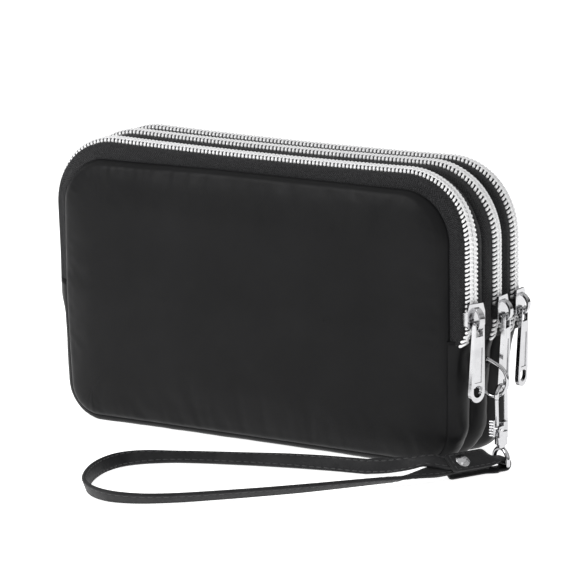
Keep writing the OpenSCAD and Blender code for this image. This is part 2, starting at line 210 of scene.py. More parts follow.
def chrome_material():
    s = Shader("silver_plate", (0.5, 0.5, 0.51), 0.12, metallic=1.0)
    wear = s.noise(160, 5, 0.7)
    s.mix(s.spread(wear, 0.25, 0.75), (0.43, 0.43, 0.44), (0.55, 0.55, 0.56))
    s.roughness(s.spread(s.noise(420, 4, 0.7), 0.3, 0.72, 0.07, 0.2))
    s.bump((s.noise(260, 2), 0.12, 0.0002), (s.noise(3000, 2), 0.05, 0.00005))
    return s.mat


def steel_material():
    s = Shader("steel", (0.62, 0.62, 0.64), 0.26, metallic=1.0)
    s.mix(s.spread(s.noise(400, 4), 0.3, 0.7), (0.5, 0.5, 0.52), (0.7, 0.7, 0.71))
    s.bump((s.noise(2500, 2), 0.2, 0.00005))
    return s.mat


def strap_material():
    s = Shader("strap_cloth", (0.016, 0.016, 0.017), 0.56, specular=0.2, sheen=0.05)
    grain = s.noise(1100, 4, 0.6)
    s.mix(s.spread(s.noise(130, 4), 0.3, 0.7), (0.008, 0.008, 0.009), (0.019, 0.019, 0.020))
    s.roughness(s.spread(grain, 0.3, 0.7, 0.46, 0.66))
    s.bump((grain, 0.45, 0.00018), (weave(s, 0.0011, ("X", "Y")), 0.12, 0.00006))
    return s.mat


NYLON = nylon_material("nylon", (0.0056, 0.0056, 0.006), (0.0088, 0.0088, 0.0093))
GUSSET = nylon_material("nylon_gusset", (0.0055, 0.0055, 0.006), (0.0095, 0.0095, 0.01), rough=0.4)
DIVIDER = nylon_material("divider_cloth", (0.014, 0.014, 0.015), (0.024, 0.024, 0.025), rough=0.6)
LINING = nylon_material("lining_cloth", (0.05, 0.05, 0.052), (0.075, 0.075, 0.078), rough=0.6)
TAPE = tape_material()
COIL = coil_material()
SILVER_THREAD = thread_material("silver_thread", (0.74, 0.74, 0.75), (0.94, 0.94, 0.94))
BLACK_THREAD = thread_material("black_thread", (0.016, 0.016, 0.017), (0.05, 0.05, 0.052))
CHROME = chrome_material()
STEEL = steel_material()
STRAP = strap_material()


# ---------------------------------------------------------------- mesh helpers
def mesh_object(name, points, faces, material, uv=None, smooth=True):
    """points are in millimetres, and so is uv."""
    mesh = bpy.data.meshes.new(name)
    mesh.from_pydata((np.asarray(points, float) * MM).tolist(), [], [list(f) for f in faces])
    mesh.update()
    if uv is not None:
        layer = mesh.uv_layers.new(name="UVMap")
        loops = np.zeros(len(mesh.loops), np.int32)
        mesh.loops.foreach_get("vertex_index", loops)
        layer.data.foreach_set("uv", np.asarray(uv, np.float32)[loops].ravel())
    mesh.polygons.foreach_set("use_smooth", [smooth] * len(mesh.polygons))
    mesh.materials.append(material)
    obj = bpy.data.objects.new(name, mesh)
    bpy.context.scene.collection.objects.link(obj)
    return obj


def fix_normals(obj):
    bm = bmesh.new()
    bm.from_mesh(obj.data)
    bmesh.ops.recalc_face_normals(bm, faces=bm.faces)
    bm.to_mesh(obj.data)
    bm.free()


def grid_faces(rows, cols, wrap_cols=False, start=0, flip=False):
    """Quads of a grid of points that are stored row by row."""
    out = []
    for i in range(rows - 1):
        for j in range(cols if wrap_cols else cols - 1):
            a, b = start + i * cols + j, start + i * cols + (j + 1) % cols
            c, d = b + cols, a + cols
            out.append((d, c, b, a) if flip else (a, b, c, d))
    return out


def tube_faces(rows, cols, start=0):
    """The side and both ends of a tube, from one ring of points to the next."""
    first = tuple(start + k for k in range(cols - 1, -1, -1))
    last = tuple(start + (rows - 1) * cols + k for k in range(cols))
    return grid_faces(rows, cols, wrap_cols=True, start=start) + [first, last]


def section(quarter):
    """A closed cross-section from its first quarter, mirrored twice."""
    return (quarter + [(-x, y) for x, y in quarter[-2::-1]] + [(-x, -y) for x, y in quarter[1:]]
            + [(x, -y) for x, y in quarter[-2:0:-1]])


def smooth_line(points, per=6):
    """Catmull-Rom through the points, with per steps in each stretch."""
    p = np.asarray(points, float)
    p = np.vstack([2 * p[0] - p[1], p, 2 * p[-1] - p[-2]])
    out = []
    for i in range(1, len(p) - 2):
        for t in np.arange(per) / per:
            out.append(0.5 * ((2 * p[i]) + (p[i + 1] - p[i - 1]) * t
                       + (2 * p[i - 1] - 5 * p[i] + 4 * p[i + 1] - p[i + 2]) * t * t
                       + (3 * p[i] - p[i - 1] - 3 * p[i + 1] + p[i + 2]) * t ** 3))
    out.append(p[-2])
    return np.array(out)


def unit(vectors):
    return vectors / np.linalg.norm(vectors, axis=1)[:, None]


def heading(line):
    """Unit tangent at each point of a line."""
    return unit(np.gradient(line, axis=0))


def arc_length(line):
    """Distance along a line at each of its points."""
    return np.concatenate([[0], np.cumsum(np.linalg.norm(np.diff(line, axis=0), axis=1))])


def ease(t):
    t = np.clip(t, 0, 1)
    return t * t * (3 - 2 * t)


def ride(obj, body, replaces=()):
    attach(obj, body)
    if replaces:
        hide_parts(*replaces)
    return obj


# ---------------------------------------------------------------- wrist strap
# the strap's middle line: x, y, z and its lean in degrees, from 0 flat to 90 on its edge
STRAP_ROUTE = [
    [99.2, -14.9, 2.15, 0], [96.3, -21.9, 2.15, 0], [93.3, -28.8, 2.15, 0], [91.9, -32.1, 2.15, 0],
    [90.4, -35.4, 2.2, 2], [88.3, -39.5, 2.5, 8], [84.8, -45.4, 2.9, 18], [78, -55, 3.2, 28],
    [69, -67, 3.2, 34], [59, -79, 3, 38], [48, -91.5, 2.9, 40], [37, -103, 2.8, 42],
    [26, -113.5, 2.7, 43], [15.5, -121.5, 2.8, 46], [5, -125, 3, 54], [-4.5, -123, 3.1, 62],
    [-12.5, -117, 3.2, 70], [-18.5, -108, 3.2, 74], [-23, -97.5, 3.2, 74], [-25.4, -87, 3.1, 70],
    [-25, -77, 2.9, 62], [-20.6, -68.4, 2.6, 48], [-12.5, -61.7, 2.3, 33], [-2, -56.5, 2.3, 32],
    [12, -51.5, 2.5, 37], [28, -46.5, 2.8, 48], [44, -42.5, 3, 62], [59, -39.8, 3.1, 74],
    [71, -38.2, 3.3, 74], [79.6, -37, 3.9, 56], [85.6, -35.2, 4.7, 26], [89.3, -32.2, 3.85, 0],
    [91.4, -30, 3.75, 0], [94.1, -24.2, 3.75, 0], [96.3, -18.9, 3.75, 0], [98.2, -14.4, 3.75, 0],
]
STRAP_W, STRAP_T = 5.8, 1.55

# keeper: folded strip round the eye's bar, in the keeper's own axes: s along it, w across, z up
TURN = math.radians(247)
KEEP = (np.array([math.cos(TURN), math.sin(TURN), 0]), np.array([-math.sin(TURN), math.cos(TURN), 0]))
CLASP = np.array([102, -8.4, 0])
EYE_Z = 2.95                                    # height of the eye's bar
KEEPER_L, KEEPER_W, KEEPER_T = 25.0, 8.6, 1.0   # length, width and thickness of one layer
FOLD_W = 6.5                                    # width in the fold
RIVET = 19.0                                    # the rivet's place along it
TILT, TILT_LIFT, TILT_HALF = math.radians(38), 1.95, 4.3


def flat_point(s, w, z):
    return CLASP + KEEP[0] * s + KEEP[1] * w + UP * z


def tilt_end(points):
    """Turns the keeper and the strap's ends up onto their lower edge, and lets them down again."""
    p = np.array(points, float)
    flat = p.reshape(-1, 3)
    rel = flat - CLASP
    s, w, z = rel @ KEEP[0], rel @ KEEP[1], flat[:, 2] - EYE_Z
    after = 1 - ease((s - 25) / 22)
    angle = TILT * ease((s - 1.5) / 7.5) * after
    lift = TILT_LIFT * ease((s - 1.0) / 8.0) * after
    held = np.clip(w, -TILT_HALF, TILT_HALF)
    w2 = w - held + held * np.cos(angle) + z * np.sin(angle)
    z2 = EYE_Z + z * np.cos(angle) - held * np.sin(angle) + lift
    near = (s > -6) & (s < 48) & (np.abs(w) < 24)
    moved = CLASP + s[:, None] * KEEP[0] + w2[:, None] * KEEP[1] + UP * z2[:, None]
    flat[near] = moved[near]
    flat[:, 2] = np.maximum(flat[:, 2], 0.05)
    return flat.reshape(p.shape)


def strap_frames():
    """The strap's middle line with its directions ahead, across its width and through it."""
    line = smooth_line(STRAP_ROUTE, 5)
    spots, lean = line[:, :3], np.radians(np.clip(line[:, 3], 0, 90))
    ahead = heading(spots)
    level = unit(np.cross([0, 0, 1], ahead))
    upward = np.cross(ahead, level)
    wide = level * np.cos(lean)[:, None] + upward * np.sin(lean)[:, None]
    return spots, ahead, wide, np.cross(ahead, wide)


def make_strap(spots, ahead, wide, thick):
    """Returns the strap and its middle line."""
    # rounded edge, groove under the stitches, slightly fuller middle
    ring = np.array(section([(0.5, 0.0), (0.494, 0.26), (0.47, 0.40), (0.43, 0.46), (0.385, 0.46),
                             (0.35, 0.40), (0.315, 0.46), (0.22, 0.5), (0.0, 0.5)]))
    rings = []
    for i, c in enumerate(spots):
        wob = 0.03 * perlin(Vector((i * 0.21, 3.1, 0)))
        rings.append(c + wide[i] * ring[:, :1] * STRAP_W * (1 + wob) + thick[i] * ring[:, 1:] * STRAP_T)
    n, m = len(spots), len(ring)
    points = tilt_end(np.concatenate(rings))
    strap = mesh_object("wrist_strap_band", points, tube_faces(n, m), STRAP)
    ride(strap, "strap", ["wrist_strap"])
    return strap, points.reshape(n, m, 3).mean(1)


def capsules(name, stitches, length, radius, tilt=False):
    """Short lens-shaped stitches, each given by its centre, its direction and its normal."""
    sides, squash = 6, 0.75
    rings = [(-0.5, 0.25), (-0.38, 0.85), (0, 1), (0.38, 0.85), (0.5, 0.25)]
    points, faces = [], []
    for centre, along, normal in stitches:
        side = np.cross(normal, along)
        faces += tube_faces(len(rings), sides, start=len(points))
        for t, r in rings:
            for k in range(sides):
                th = 2 * PI * k / sides
                points.append(centre + along * t * length + side * math.cos(th) * radius * r
                              + normal * math.sin(th) * radius * r * squash)
    return mesh_object(name, tilt_end(points) if tilt else np.array(points), faces, BLACK_THREAD)


def strap_stitches(spots, *axes):
    """A row of stitches near each edge, on both faces, in equal steps along the strap."""
    pitch, free_end = 2.9, 12
    s = arc_length(spots)
    at = np.arange(free_end, s[-1] - free_end, pitch)
    c, *axes = [np.stack([np.interp(at, s, f[:, k]) for k in range(3)], 1) for f in (spots, *axes)]
    a, w, t = [unit(f) for f in axes]
    rows = []
    for side in (-1, 1):
        for face in (-1, 1):
            rows += zip(c + w * side * 0.35 * STRAP_W + t * face * 0.43 * STRAP_T, a, t * face)
    return capsules("strap_stitches", rows, 2.1, 0.26, tilt=True)


def make_keeper():
    r = 1.6 + KEEPER_T / 2
    line = [(s, EYE_Z - r) for s in np.linspace(KEEPER_L, 2, 18)]
    line += [(-r * math.sin(a), EYE_Z - r * math.cos(a)) for a in np.linspace(0.35, PI - 0.35, 13)]
    line += [(s, EYE_Z + r) for s in np.linspace(2, KEEPER_L, 18)]
    line = smooth_line(line, 2)
    along = heading(line)
    out = np.stack([along[:, 1], -along[:, 0]], 1)
    ring = section([(0.5, 0.0), (0.493, 0.3), (0.475, 0.44), (0.43, 0.5), (0.415, 0.42), (0.385, 0.42),
                    (0.37, 0.5), (0, 0.5)])
    points = []
    for (s, z), o in zip(line, out):
        # narrower in the fold, and rounded at its end
        width = FOLD_W + (KEEPER_W - FOLD_W) * float(ease((s - 2.4) / 1.6))
        if s > KEEPER_L - 1.2:
            width -= 1.2 * ((s - KEEPER_L + 1.2) / 1.2) ** 2
        for a, b in ring:
            crease = 0.0
            if z > 3 and s > 6 and abs(s - RIVET) > 3:
                crease = max(0.10 * perlin(Vector((s * 0.2, a * 2.5, z))), 0)
            points.append(flat_point(s + o[0] * b * KEEPER_T, a * width,
                                     z + o[1] * b * KEEPER_T + crease))
    keeper = mesh_object("strap_keeper_fold", tilt_end(points), tube_faces(len(line), len(ring)), STRAP)
    ride(keeper, "strap", ["strap_keeper"])
    rows = []
    for w in (-1, 1):
        for up in (-1, 1):
            for s in np.arange(6.5, KEEPER_L - 1.6, 2.6):
                spot = flat_point(s, w * 0.4 * KEEPER_W, EYE_Z + up * (r + 0.42))
                rows.append((spot, KEEP[0], UP * up))
    for w in np.arange(-2.6, 2.7, 2.6):
        rows.append((flat_point(KEEPER_L - 1.7, w, EYE_Z + r + 0.45), KEEP[1], UP))
    stitches = capsules("keeper_stitches", rows, 1.9, 0.24, tilt=True)
    ride(stitches, "strap")
    return keeper, stitches


def make_rivet(name, profile, node):
    """A turned metal piece on the rivet's axis. profile is (radius, height) from its middle outward."""
    sides = 40
    points = []
    for radius, z in profile:
        for k in range(sides):
            th = 2 * PI * k / sides
            points.append(flat_point(RIVET + radius * math.cos(th), radius * math.sin(th), z))
    obj = mesh_object(name, tilt_end(points), tube_faces(len(profile), sides), CHROME)
    fix_normals(obj)
    return ride(obj, "strap", [node])


strap_line = strap_frames()
strap, strap_middle = make_strap(*strap_line)
stitches = strap_stitches(*strap_line)
ride(stitches, "strap")
keeper, keeper_stitches = make_keeper()
FACE, BACK = EYE_Z + 2.6, EYE_Z - 2.6
cap = make_rivet("rivet_dome", [
    (0.3, FACE - 1.2), (1.0, FACE - 1.2), (1.0, FACE - 0.1), (2.75, FACE - 0.1),
    (2.9, FACE + 0.12), (2.82, FACE + 0.34), (2.55, FACE + 0.46), (2.3, FACE + 0.56),
    (1.9, FACE + 0.86), (1.4, FACE + 1.08), (0.8, FACE + 1.2), (0.15, FACE + 1.24)], "rivet_cap")
back = make_rivet("rivet_back_disc", [
    (0.2, BACK + 1.5), (0.95, BACK + 1.5), (0.95, BACK + 0.1), (2.3, BACK + 0.1), (2.4, BACK - 0.05),
    (2.3, BACK - 0.25), (0.2, BACK - 0.3)], "rivet_back")


# ---------------------------------------------------------------- the soft body's shape
def settle(points, left=0.0):
    """How the stuffed fabric sits, in mm. left is how far a zip's left end is pulled in."""
    p = np.array(points, float)
    x, y, z = p[:, 0].copy(), p[:, 1].copy(), p[:, 2].copy()
    low = np.clip((55 - z) / 55, 0, 1)
    front = np.clip((16 - y) / 40, 0, 1)
    rear = ease((y + 6) / 20)
    seam = ease((-20.6 - y) / 2.4)
    side = np.clip(np.abs(x) / 88, 0, 1)
    middle = np.clip(1 - (x / 90) ** 2, 0, 1)
    # the lower part narrows, most at the right
    right = 2.7 * low ** 1.5 * (1 - rear) + 3.3 * ease(low / 0.62) * rear
    p[:, 0] -= side * np.where(x > 0, right, -1.0 * low * rear)
    p[:, 0] += left * ease((-x - 40) / 40) * ease((96 - z) / 36)
    p[:, 0] -= 0.8 * seam * ease((x - 50) / 36)
    # its front leans back
    p[:, 1] += 3.6 * front ** 1.6 * low ** 1.3
    # the long edges bow, and the front seam drops at the upper left
    p[:, 2] += 0.2 * middle * low ** 2 * front - 1.35 * middle * ease((z - 106.5) / 5)
    p[:, 2] -= 1.3 * seam * ease((-x - 10) / 60) * ease((z - 84) / 18)
    return p


# half width, height and corner radius of the line that every zip follows
ZIP_ARCH = (95.0, 114.0, 28.0)


def around(w, level, r, right, left, sign, counts):
    """Stations (x, z, angle) of a line from height right on the right side to height left on the left
    side, over the top with sign 1 or under the bottom with sign -1."""
    a, b, c, d, e = counts
    corner, quarter = level - sign * r, sign * PI / 2

    def bend(x, start, n):
        return [(x + r * math.cos(t), corner + r * math.sin(t), t)
                for t in np.linspace(start, start + quarter, n, endpoint=False)]

    out = [(w, z, 0.0) for z in np.linspace(right, corner, a, endpoint=False)] + bend(w - r, 0, b)
    out += [(x, level, quarter) for x in np.linspace(w - r, r - w, c, endpoint=False)]
    out += bend(r - w, quarter, d) + [(-w, z, 2 * quarter) for z in np.linspace(corner, left, e)]
    return np.array(out)


def offset(stations, n, y):
    """Point at n outward from a station, at depth y."""
    x, z, t = stations[..., 0], stations[..., 1], stations[..., 2]
    return np.stack([x + n * np.cos(t), y + 0 * x, z + n * np.sin(t)], -1)


def strip_mesh(outer, inner):
    """A closed strip between two grids of points [stations, across, 3], and its UVs in mm."""
    n, m = outer.shape[:2]
    ring = np.concatenate([outer, inner[:, ::-1]], 1)
    s, across = arc_length(outer[:, m // 2]), arc_length(outer[n // 2])
    across = np.concatenate([across, across[::-1]])
    uv = np.stack(np.broadcast_arrays(s[:, None], across[None]), -1).reshape(-1, 2)
    k = 2 * m
    faces = grid_faces(n, k, wrap_cols=True)
    for row, flip in ((0, True), (n - 1, False)):
        for j in range(m - 1):
            a, b, c, d = row * k + j, row * k + j + 1, row * k + k - 2 - j, row * k + k - 1 - j
            faces.append((d, c, b, a) if flip else (a, b, c, d))
    return ring.reshape(-1, 3), faces, uv


# middle of each chain as (height over its line, y, lean in degrees): beside its slider, then elsewhere
ZIPS = [((-1.0, -17.2, 19), (-1.0, -15.9, 5)), ((-0.4, -0.1, -3), (-0.4, -0.25, 0.5)),
        ((-0.8, 13.4, -5), (-0.8, 13.6, -6))]
# where the tapes are sewn in, as (height over the line, y)
SEAM_FRONT, SEAM_BACK = (-7.2, -21.8), (-5.2, 20.0)
VALLEYS = [(-2.9, -8.2), (-2.7, 6.6)]
VALLEY_GAP = 0.25   # between a valley's middle and the tapes beside it
TAPE_HALF = 0.35    # half a tape's thickness
LEFT_PULL = 0.9     # how far the zips' left ends are pulled in


def away(x, z):
    """0 where a slider runs, 1 over the rest of a zip."""
    return np.where(x > 0, ease((z - 88) / 18), 1.0)


def tape_line(pose, seam, side):
    """Tape from the chain's middle to a seam: flat under the coil, then a soft curve into the seam."""
    def across_zip(u):
        n, y, tilt = pose
        t = math.radians(tilt)
        return n + u * math.sin(t), y + u * math.cos(t)

    flat = across_zip(side * 4.3)
    inward = np.array(seam) - np.array(flat)
    bulge = np.array([0.9, 0.0]) * min(1.0, np.linalg.norm(inward) / 5)
    line = smooth_line([across_zip(side * 0.3), across_zip(side * 2.2), flat,
                        tuple(np.array(flat) + inward * 0.45 + bulge),
                        tuple(np.array(flat) + inward * 0.8 + bulge * 0.9), seam], 4)
    tangent = heading(line)
    return line, np.stack([tangent[:, 1], -tangent[:, 0]], 1) * side


def make_tape(number, side, seam):
    st = around(*ZIP_ARCH, 49.4, 54.4, 1, (18, 20, 50, 20, 16))
    share = away(st[:, 0], st[:, 1])[:, None, None]
    (line_a, normal_a), (line_b, normal_b) = [tape_line(pose, seam, side) for pose in ZIPS[number]]
    line = line_a * (1 - share) + line_b * share
    normal = (normal_a * (1 - share) + normal_b * share) * TAPE_HALF
    outer = offset(st[:, None], line[..., 0] + normal[..., 0], line[..., 1] + normal[..., 1])
    inner = offset(st[:, None], line[..., 0] - normal[..., 0], line[..., 1] - normal[..., 1])
    # small waves where the tape is sewn in
    for i in range(outer.shape[0]):
        for j in range(outer.shape[1]):
            w = ease((j - 8) / 9) * 0.28 * perlin(Vector((i * 0.55, j * 0.18, number * 7 + side)))
            d = np.array([math.cos(st[i, 2]), 0, math.sin(st[i, 2])]) * w
            outer[i, j] += d
            inner[i, j] += d
    points, faces, uv = strip_mesh(outer, inner)
    if side > 0:
        faces = [f[::-1] for f in faces]
    node = f"tape_{number + 1}_" + ("front" if side < 0 else "rear")
    obj = mesh_object("zip_" + node, settle(points, LEFT_PULL), faces, TAPE, uv)
    ride(obj, "pouch", [node])


for k in range(3):
    make_tape(k, -1, SEAM_FRONT if k == 0 else (VALLEYS[k - 1][0], VALLEYS[k - 1][1] + VALLEY_GAP))
    make_tape(k, 1, SEAM_BACK if k == 2 else (VALLEYS[k][0], VALLEYS[k][1] - VALLEY_GAP))


# ---------------------------------------------------------------- coils
PITCH = 1.7
LOW_RIGHT, LOW_LEFT = 49.8, 54.8
# a turn of the coil: head, top leg, and the bend at the tape, as (u, slant, v, radius)
COIL_TURN = [(-0.5, 0.0, 0.95, 0.34), (-0.32, 0.0, 1.2, 0.44), (0.3, 0.15, 1.46, 0.38),
             (1.0, 0.5, 1.5, 0.36), (1.75, 0.9, 1.44, 0.36), (2.35, 1.25, 1.2, 0.45),
             (2.66, 1.4, 0.65, 0.48), (2.6, 1.45, 0.2, 0.34)]


def over_at(s, n0):
    """(x, z, angle) of the zips' line at arc length s from its right end, measured n0 outside it."""
    w, high, r = ZIP_ARCH
    s = np.asarray(s, float)
    side, arc, top = high - r - LOW_RIGHT, (r + n0) * PI / 2, 2 * (w - r)
    x, z, t = np.full(s.shape, w), LOW_RIGHT + s, np.zeros(s.shape)
    a = (s > side) & (s <= side + arc)
    t[a] = (s[a] - side) / (r + n0)
    b = (s > side + arc) & (s <= side + arc + top)
    t[b] = PI / 2
    c = (s > side + arc + top) & (s <= side + 2 * arc + top)
    t[c] = PI / 2 + (s[c] - side - arc - top) / (r + n0)
    d = s > side + 2 * arc + top
    t[d] = PI
    x[a], z[a] = (w - r) + r * np.cos(t[a]), (high - r) + r * np.sin(t[a])
    x[b], z[b] = (w - r) - (s[b] - side - arc), high
    x[c], z[c] = (r - w) + r * np.cos(t[c]), (high - r) + r * np.sin(t[c])
    x[d], z[d] = -w, (high - r) - (s[d] - side - 2 * arc - top)
    return x, z, t


def zip_length(n0):
    w, high, r = ZIP_ARCH
    return (high - r - LOW_RIGHT) + (r + n0) * PI + 2 * (w - r) + (high - r - LOW_LEFT)


def on_zip(number, s, u, v):
    """Points at s along a zip, u across it and v over it."""
    low, rest = ZIPS[number]
    x, z, a = over_at(s, low[0])
    share = away(x, z)
    n0, y0, tilt = [p * (1 - share) + q * share for p, q in zip(low, rest)]
    t = np.radians(tilt)
    n = n0 + u * np.sin(t) + v * np.cos(t)
    y = y0 + u * np.cos(t) - v * np.sin(t)
    return np.stack([x + n * np.cos(a), y, z + n * np.sin(a)], -1)


def spread_apart(s):
    """How far each row has moved outward below the closed slider."""
    return 2.4 * ease((6.6 - np.asarray(s, float)) / 6.0)


def make_row(number, side):
    """One coil row as single turns, and the thread that sews it on its tape."""
    total = zip_length(ZIPS[number][0][0])
    sides = 7
    starts = np.arange(0.8 + (0 if side < 0 else PITCH / 2), total - 0.8, PITCH)
    us, ds, vs = [], [], []
    for i, (u, slant, v, r) in enumerate(COIL_TURN):
        a, b = COIL_TURN[max(i - 1, 0)], COIL_TURN[min(i + 1, len(COIL_TURN) - 1)]
        du, dv = b[0] - a[0], b[2] - a[2]
        m = math.hypot(du, dv)
        nu, nv = -dv / m, du / m
        for k in range(sides):
            th = 2 * PI * k / sides
            us.append(u + nu * r * math.cos(th) * 0.9)
            vs.append(v + nv * r * math.cos(th) * 0.9)
            ds.append(1.3 * r * math.sin(th) - slant)
    us, ds, vs = np.array(us), np.array(ds), np.array(vs)
    gap = spread_apart(starts)[:, None]
    s = starts[:, None] + ds[None] + gap * 0.12
    points = on_zip(number, s, side * (us[None] + gap), vs[None] + 0 * s)
    one = tube_faces(len(COIL_TURN), sides)
    if side < 0:
        one = [f[::-1] for f in one]
    faces = [tuple(x + i * len(us) for x in f) for i in range(len(starts)) for f in one]
    node = f"coil_{number + 1}_" + ("front" if side < 0 else "rear")
    row = mesh_object("zip_" + node, settle(points.reshape(-1, 3), LEFT_PULL), faces, COIL)
    ride(row, "pouch", [node])
    # the thread lies as a low band over the legs, and dips between the turns
    per_turn, sides = 6, 10
    count = int((total - 3) / PITCH * per_turn)
    s = 1.5 + np.arange(count) * PITCH / per_turn
    phase = 2 * PI * (s - starts[0] + 0.35) / PITCH
    th = 2 * PI * np.arange(sides) / sides
    u = side * (1.0 + spread_apart(s)[:, None] + 0.62 * np.cos(th)[None])
    v = 1.8 + 0.16 * np.cos(phase)[:, None] + 0.28 * np.sin(th)[None]
    points = on_zip(number, np.broadcast_to(s[:, None], u.shape), u, v).reshape(-1, 3)
    faces = tube_faces(count, sides)
    if side > 0:
        faces = [f[::-1] for f in faces]
    thread = mesh_object("zip_" + node.replace("coil", "thread"), settle(points, LEFT_PULL), faces,
                         SILVER_THREAD)
    ride(thread, "pouch")


for k in range(3):
    for side in (-1, 1):
        make_row(k, side)


# ---------------------------------------------------------------- gussets
def make_gusset(name, node, seam_a, seam_b, seed, bulge=3.6):
    """A strip between two seams under the bottom, from one zip end to the other. Each seam is
    (w, low, r, y)."""
    a, b = [around(*seam[:3], 51.0, 56.0, -1, (20, 22, 60, 22, 22)) for seam in (seam_a, seam_b)]
    pa, pb = offset(a, 0, seam_a[3]), offset(b, 0, seam_b[3])
    out = np.stack([np.cos(a[:, 2]), 0 * a[:, 2], np.sin(a[:, 2])], -1)
    lip = ease((a[:, 1] - 42) / 8)
    outer, inner = [], []
    for u in np.linspace(0, 1, 22):
        n = (bulge + 1.7 * lip + 0.9 * ease((-a[:, 0] - 60) / 25)) * math.sin(PI * u) ** 0.62
        line = pa * (1 - u) + pb * u
        fold = np.array([0.42 * perlin(Vector((i * 0.16, u * 2.4, seed)))
                         + 0.2 * perlin(Vector((i * 0.5, u * 1.3, seed + 5)))
                         for i in range(len(a))]) * math.sin(PI * u)
        outer.append(line + out * (n + fold)[:, None])
        inner.append(line + out * (n + fold - 0.8 - 0.5 * lip)[:, None])
    points, faces, uv = strip_mesh(np.stack(outer, 1), np.stack(inner, 1))
    points = settle(points)
    points[:, 2] = np.maximum(points[:, 2], 0.02)
    ride(mesh_object(name, points, faces, GUSSET, uv), "pouch", [node])


make_gusset("gusset_strip_front", "gusset_front", (88.6, 2.0, 12.5, -23.2), (87.8, 4.7, 14, -8.35), 1.0)
make_gusset("gusset_strip_middle", "gusset_middle", (87.8, 4.7, 14, -8.05), (87.8, 4.7, 12.5, 6.45), 11.0,
            bulge=4.2)
make_gusset("gusset_strip_rear", "gusset_rear", (87.8, 4.7, 12.5, 6.75), (89.8, 2.6, 13.0, 20.4), 21.0)


# ---------------------------------------------------------------- padded panels
PANEL_FRONT = dict(w=88.6, low=2.0, high=107.2, r_top=20.0, r_bottom=12.5)
PANEL_BACK = dict(w=89.8, low=2.6, high=108.8, r_top=22.4, r_bottom=13.0)
# points of a panel's ring in each long edge, bottom corner, side and top corner
N_LONG, N_FOOT, N_SIDE, N_TOP = 150, 34, 100, 44


def half_and_middle(o):
    return (o["high"] - o["low"]) / 2, (o["high"] + o["low"]) / 2


def crown(x, z, o):
    """A panel's height over its seam, from its outline alone."""
    half_h, mid = half_and_middle(o)
    r = np.where(z > mid, o["r_top"], o["r_bottom"])
    qx, qz = np.abs(x) - (o["w"] - r), np.abs(z - mid) - (half_h - r)
    out = np.hypot(np.maximum(qx, 0), np.maximum(qz, 0)) + np.minimum(np.maximum(qx, qz), 0) - r
    d = np.maximum(-out, 0)
    round_ = np.clip(1 - (x / o["w"]) ** 2, 0, 1) * np.clip(1 - ((z - mid) / half_h) ** 2, 0, 1)
    return 3.0 * (1 - np.exp(-d / 2.6)) + 1.7 * round_ ** 0.7


def ring_of(o, d):
    """The outline moved in by d, as points (x, z) with equal counts whatever d is."""
    w, low, high = o["w"] - d, o["low"] + d, o["high"] - d
    rt, rb = max(o["r_top"] - d, 0.4), max(o["r_bottom"] - d, 0.4)

    def steps(a, b, n):
        return np.linspace(a, b, n, endpoint=False)

    def corner(x, z, r, quarter, n):
        return [(x + r * math.cos(t), z + r * math.sin(t))
                for t in steps(quarter * PI / 2, (quarter + 1) * PI / 2, n)]

    pts = [(x, low) for x in steps(-(w - rb), w - rb, N_LONG)]
    pts += corner(w - rb, low + rb, rb, -1, N_FOOT)
    pts += [(w, z) for z in steps(low + rb, high - rt, N_SIDE)]
    pts += corner(w - rt, high - rt, rt, 0, N_TOP)
    pts += [(x, high) for x in steps(w - rt, rt - w, N_LONG)]
    pts += corner(rt - w, high - rt, rt, 1, N_TOP)
    pts += [(-w, z) for z in steps(high - rt, low + rb, N_SIDE)]
    pts += corner(rb - w, low + rb, rb, 2, N_FOOT)
    return np.array(pts)


